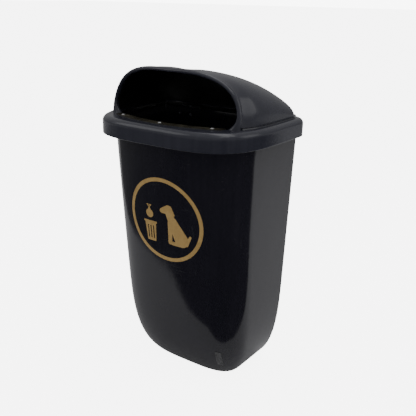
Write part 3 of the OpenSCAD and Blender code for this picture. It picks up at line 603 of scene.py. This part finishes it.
# Bright metal of the fasteners and locks: turned or cast skin with handling marks
def makeMetal(name, look):
    material, tree, shader, place = startMaterial(name, {"Metallic": 1.0, "Roughness": look["roughness"]})
    cloud = noise(tree, place, 260.0, 5.0, 0.6)
    scratch = useGroup(tree, scratchGroup, place, Scale=70.0, Amount=0.8)
    color = mixColor(tree, ramp(tree, cloud, 0.3, 0.75), look["dark"], look["light"])
    color = mixColor(tree, scratch.outputs[0], color, metalLook["scratch"])
    tree.links.new(color, shader.inputs["Base Color"])
    tree.links.new(scaled(tree, cloud, 0.2, look["roughness"] - 0.08), shader.inputs["Roughness"])
    skin = useGroup(tree, skinGroup, place, Wave_Scale=300.0, Grain_Scale=2400.0, Grain_Amount=0.6)
    addBump(tree, shader, skin.outputs["Height"], look["grain"], 0.05 * mm)
    return material


goldLook = {
    "dark": (0.50, 0.31, 0.095, 1), "light": (0.60, 0.39, 0.135, 1), "flake": (0.74, 0.54, 0.25, 1),
    "scratch": (0.30, 0.19, 0.07, 1),
}


# Gold printed film: slightly mottled ink with fine flakes and rubbed places
def makeGold(look):
    material, tree, shader, place = startMaterial("goldFilm", {"Roughness": 0.42, "IOR": 1.45})
    ink = noise(tree, place, 45.0, 5.0, 0.6)
    flake = addNode(tree, "ShaderNodeTexVoronoi", {"Vector": place}, {"Scale": 1500.0})
    bright = addNode(tree, "ShaderNodeSeparateColor", {0: flake.outputs["Color"]}).outputs[0]
    color = mixColor(tree, ramp(tree, ink, 0.3, 0.7), look["dark"], look["light"])
    color = mixColor(tree, mathNode(tree, "MULTIPLY", bright, 0.25), color, look["flake"])
    scratch = useGroup(tree, scratchGroup, place, Scale=20.0, Amount=0.6)
    color = mixColor(tree, scratch.outputs[0], color, look["scratch"])
    tree.links.new(color, shader.inputs["Base Color"])
    tree.links.new(scaled(tree, ink, 0.16, 0.36), shader.inputs["Roughness"])
    tree.links.new(mathNode(tree, "MULTIPLY", bright, 0.35), shader.inputs["Metallic"])
    addBump(tree, shader, ink, 0.15, 0.08 * mm)
    return material


rubberLook = {"dark": (0.012, 0.012, 0.012, 1), "bloom": (0.05, 0.05, 0.05, 1)}


# Rubber: matt black with a fine bloom
def makeRubber(look):
    material, tree, shader, place = startMaterial("blackRubber", {"Roughness": 0.75})
    bloom = noise(tree, place, 120.0, 6.0, 0.7)
    color = mixColor(tree, ramp(tree, bloom, 0.4, 0.75), look["dark"], look["bloom"])
    tree.links.new(color, shader.inputs["Base Color"])
    tree.links.new(scaled(tree, bloom, 0.25, 0.6), shader.inputs["Roughness"])
    skin = useGroup(tree, skinGroup, place, Wave_Scale=150.0, Grain_Scale=1800.0, Grain_Amount=1.0)
    addBump(tree, shader, skin.outputs["Height"], 0.4, 0.1 * mm)
    return material


labelLook = {
    "grey": (0.085, 0.085, 0.09, 1), "worn": (0.03, 0.03, 0.033, 1), "scratch": (0.15, 0.15, 0.155, 1),
}


# Blank grey label, scuffed and darker where it is worn
def makeLabel(look):
    material, tree, shader, place = startMaterial("labelFilm", {"Roughness": 0.45})
    worn = noise(tree, place, 130.0, 6.0, 0.7)
    scratch = useGroup(tree, scratchGroup, place, Scale=60.0, Amount=1.0)
    color = mixColor(tree, ramp(tree, worn, 0.45, 0.62), look["grey"], look["worn"])
    color = mixColor(tree, scratch.outputs[0], color, look["scratch"])
    tree.links.new(color, shader.inputs["Base Color"])
    tree.links.new(scaled(tree, worn, 0.3, 0.3), shader.inputs["Roughness"])
    addBump(tree, shader, worn, 0.2, 0.1 * mm)
    return material


stubLook = {
    "dark": (0.030, 0.028, 0.020, 1), "light": (0.085, 0.078, 0.055, 1), "ash": (0.011, 0.011, 0.011, 1),
    "scratch": (0.22, 0.21, 0.18, 1),
}


# Dark plate for stubbing out: browned steel with burnt spots and bright rubs
def makeStubSteel(look):
    material, tree, shader, place = startMaterial("stubSteel", {"Roughness": 0.35})
    stain = noise(tree, place, 38.0, 6.0, 0.7)
    ash = addNode(tree, "ShaderNodeTexVoronoi", {"Vector": place}, {"Scale": 55.0})
    color = mixColor(tree, ramp(tree, stain, 0.35, 0.7), look["dark"], look["light"])
    color = mixColor(tree, ramp(tree, ash.outputs["Distance"], 0.16, 0.05), color, look["ash"])
    scratch = useGroup(tree, scratchGroup, place, Scale=30.0, Amount=0.9)
    color = mixColor(tree, scratch.outputs[0], color, look["scratch"])
    tree.links.new(color, shader.inputs["Base Color"])
    bare = mathNode(tree, "MULTIPLY", ramp(tree, stain, 0.7, 0.35), 0.8)
    tree.links.new(bare, shader.inputs["Metallic"])
    tree.links.new(scaled(tree, stain, 0.35, 0.18), shader.inputs["Roughness"])
    addBump(tree, shader, stain, 0.3, 0.15 * mm)
    return material


print("body and hood")
body = makeBody()
hood = makeHood()

print("materials")
looks = {
    "bodyPlastic": makePlastic("bodyPlastic", plasticLook["body"]),
    "hoodPlasticSheen": makePlastic("hoodPlasticSheen", plasticLook["hood"]),
    "galvanised": makeGalvanised(galvanisedLook),
    "stainless": makeMetal("stainlessSteel", metalLook["stainless"]),
    "zinc": makeMetal("lockZinc", metalLook["zinc"]),
    "gold": makeGold(goldLook), "rubber": makeRubber(rubberLook), "label": makeLabel(labelLook),
    "stub": makeStubSteel(stubLook),
}
finishes = {
    "gold": ["sign_ring", "sign_dog", "sign_bag", "sign_bin"],
    "label": ["label_plate"], "stub": ["stub_plate"], "rubber": ["rim_buffers", "rest_pads"],
    "stainless": ["stub_rivets", "body_hinge_screws", "hood_hinge_rivets", "keeper_rivets", "rail_bolts",
                  "rail_nuts", "rail_washers", "hinge_pin_left", "hinge_pin_right", "hood_lock_screw",
                  "bracket_lock_screw"],
    "zinc": ["hood_lock_case", "hood_lock_core", "hood_lock_nut", "hood_lock_cam", "bracket_lock_case",
             "bracket_lock_core", "bracket_lock_nut", "bracket_lock_cam"],
    "galvanised": ["body_hinge_left", "body_hinge_right", "hood_hinge_left", "hood_hinge_right",
                   "lock_keeper", "hanger_rail", "wall_channel", "hook_bar", "rest_bar"],
}


def dress(piece, material):
    if not piece.data.materials:
        piece.data.materials.append(material)
    for index in range(len(piece.data.materials)):
        piece.data.materials[index] = material


dress(body, looks["bodyPlastic"])
dress(hood, looks["hoodPlasticSheen"])
for look, names in finishes.items():
    for name in names:
        dress(nodes[name], looks[look])
dress(nodes["bin_body"], looks["bodyPlastic"])
dress(nodes["hood_shell"], looks["hoodPlasticSheen"])

# The dark card lies on the floor and is seen only in reflections
studio = {
    "floor": (0.88, 0.88, 0.89, 1), "floorLift": 6, "shown": 8, "skyLow": 0.28, "skyHigh": 0.62,
    "key": {"place": (-2.1, -2.0, 2.4), "size": (2.2, 1.6), "power": 12},
    "side": {"place": (2.8, 1.2, 1.9), "size": (1.6, 1.8), "power": 8},
    "top": {"place": (0.2, 0.3, 2.6), "size": (2.2, 0.7), "power": 9},
    "tubeA": {"place": (1.5, -1.0, 2.4), "size": (0.9, 0.04), "power": 1.6},
    "tubeB": {"place": (1.2, -0.3, 2.4), "size": (0.9, 0.04), "power": 1.6},
    "cardDark": (0.006, 0.006, 0.009, 1), "cardGrey": (0.16, 0.16, 0.16, 1),
    "cardGreyStart": -0.5, "cardGreyEnd": -1.5, "cardLift": 0.002, "floorReach": 60, "aim": (0, 0, 0.4),
    "card": [(-3, 0.4), (-1.6, 0.3), (-0.95, -0.22), (-0.66, -0.41), (-0.49, -0.455), (-0.33, -0.45),
             (-0.21, -0.37), (-0.09, -0.287), (0.042, -0.25), (0.10, -0.195), (0.146, -0.177),
             (0.232, -0.162), (0.33, -0.11), (0.41, -0.02), (0.53, 0.25), (0.60, 0.40), (0.90, 0.76),
             (1.38, 1.65), (1.6, 2.6), (4, 3.5), (4, -4), (-4, -4)],
}


def softBox(name, setting):
    light = bpy.data.lights.new(name, "AREA")
    light.shape = "RECTANGLE"
    light.size, light.size_y = setting["size"]
    light.energy = setting["power"]
    lamp = bpy.data.objects.new(name, light)
    bpy.context.scene.collection.objects.link(lamp)
    lamp.location = setting["place"]
    aim = Vector(studio["aim"]) - Vector(setting["place"])
    lamp.rotation_euler = aim.to_track_quat("-Z", "Y").to_euler()


def flatPiece(name, corners, z, color, roughness):
    mesh = bpy.data.meshes.new(name)
    mesh.from_pydata([(x, y, z) for x, y in corners], [], [list(range(len(corners)))])
    piece = bpy.data.objects.new(name, mesh)
    bpy.context.scene.collection.objects.link(piece)
    paint = {"Base Color": color, "Roughness": roughness}
    material, tree, shader, place = startMaterial(name + "Paint", paint)
    mesh.materials.append(material)
    return piece, tree, shader, place


def makeStudio():
    r = studio["floorReach"]
    tree, shader = flatPiece("floor", [(-r, -r), (r, -r), (r, r), (-r, r)], 0.0, studio["floor"], 0.9)[1:3]
    seen = addNode(tree, "ShaderNodeLightPath").outputs["Is Camera Ray"]
    shader.inputs["Emission Color"].default_value = (1, 1, 1, 1)
    tree.links.new(mathNode(tree, "MULTIPLY", seen, studio["floorLift"]), shader.inputs["Emission Strength"])
    card, tree, shader, place = flatPiece("darkCard", studio["card"], studio["cardLift"],
                                          studio["cardDark"], 1.0)
    across = addNode(tree, "ShaderNodeSeparateXYZ", {0: place}).outputs[0]
    greyer = ramp(tree, across, studio["cardGreyStart"], studio["cardGreyEnd"])
    shade = mixColor(tree, greyer, studio["cardDark"], studio["cardGrey"])
    tree.links.new(shade, shader.inputs["Base Color"])
    card.visible_camera = card.visible_diffuse = card.visible_shadow = False
    world = bpy.data.worlds.new("studioWorld")
    world.use_nodes = True
    bpy.context.scene.world = world
    tree = world.node_tree
    tree.nodes.clear()
    way = addNode(tree, "ShaderNodeTexCoord").outputs["Generated"]
    up = addNode(tree, "ShaderNodeSeparateXYZ", {0: way}).outputs[2]
    level = addNode(tree, "ShaderNodeMapRange", {"Value": up}, {"From Min": 0.0, "From Max": 1.0,
                    "To Min": studio["skyLow"], "To Max": studio["skyHigh"]}).outputs[0]
    light = addNode(tree, "ShaderNodeBackground", {"Strength": level}, {"Color": (1, 1, 1, 1)})
    shown = addNode(tree, "ShaderNodeBackground", None,
                    {"Color": (1, 1, 1, 1), "Strength": studio["shown"]})
    seen = addNode(tree, "ShaderNodeLightPath").outputs["Is Camera Ray"]
    mix = addNode(tree, "ShaderNodeMixShader", {0: seen, 1: light.outputs[0], 2: shown.outputs[0]})
    addNode(tree, "ShaderNodeOutputWorld", {0: mix.outputs[0]})
    for name in ("key", "side", "top", "tubeA", "tubeB"):
        softBox(name + "Light", studio[name])


view = {
    "azimuth": 35.8, "elevation": 20.62, "distance": 1.59852, "roll": 1.06, "focal": 54.573, "sensor": 36,
    "shiftX": 0.032, "shiftY": 0.058, "target": (0, rearY - 0.160, 0.375),
}


def makeCamera():
    a, e, r = (math.radians(view[key]) for key in ("azimuth", "elevation", "roll"))
    back = Vector((math.sin(a) * math.cos(e), -math.cos(a) * math.cos(e), math.sin(e)))
    side = Vector((math.cos(a), math.sin(a), 0))
    up = back.cross(side)
    right = side * math.cos(r) + up * math.sin(r)
    top = up * math.cos(r) - side * math.sin(r)
    place = Vector(view["target"]) + back * view["distance"]
    data = bpy.data.cameras.new("camera")
    data.lens, data.sensor_width = view["focal"], view["sensor"]
    data.shift_x, data.shift_y = view["shiftX"], view["shiftY"]
    camera = bpy.data.objects.new("camera", data)
    bpy.context.scene.collection.objects.link(camera)
    turned = Matrix((right, top, back)).transposed().to_4x4()
    camera.matrix_world = Matrix.Translation(place) @ turned
    bpy.context.scene.camera = camera


print("studio and camera")
makeStudio()
makeCamera()
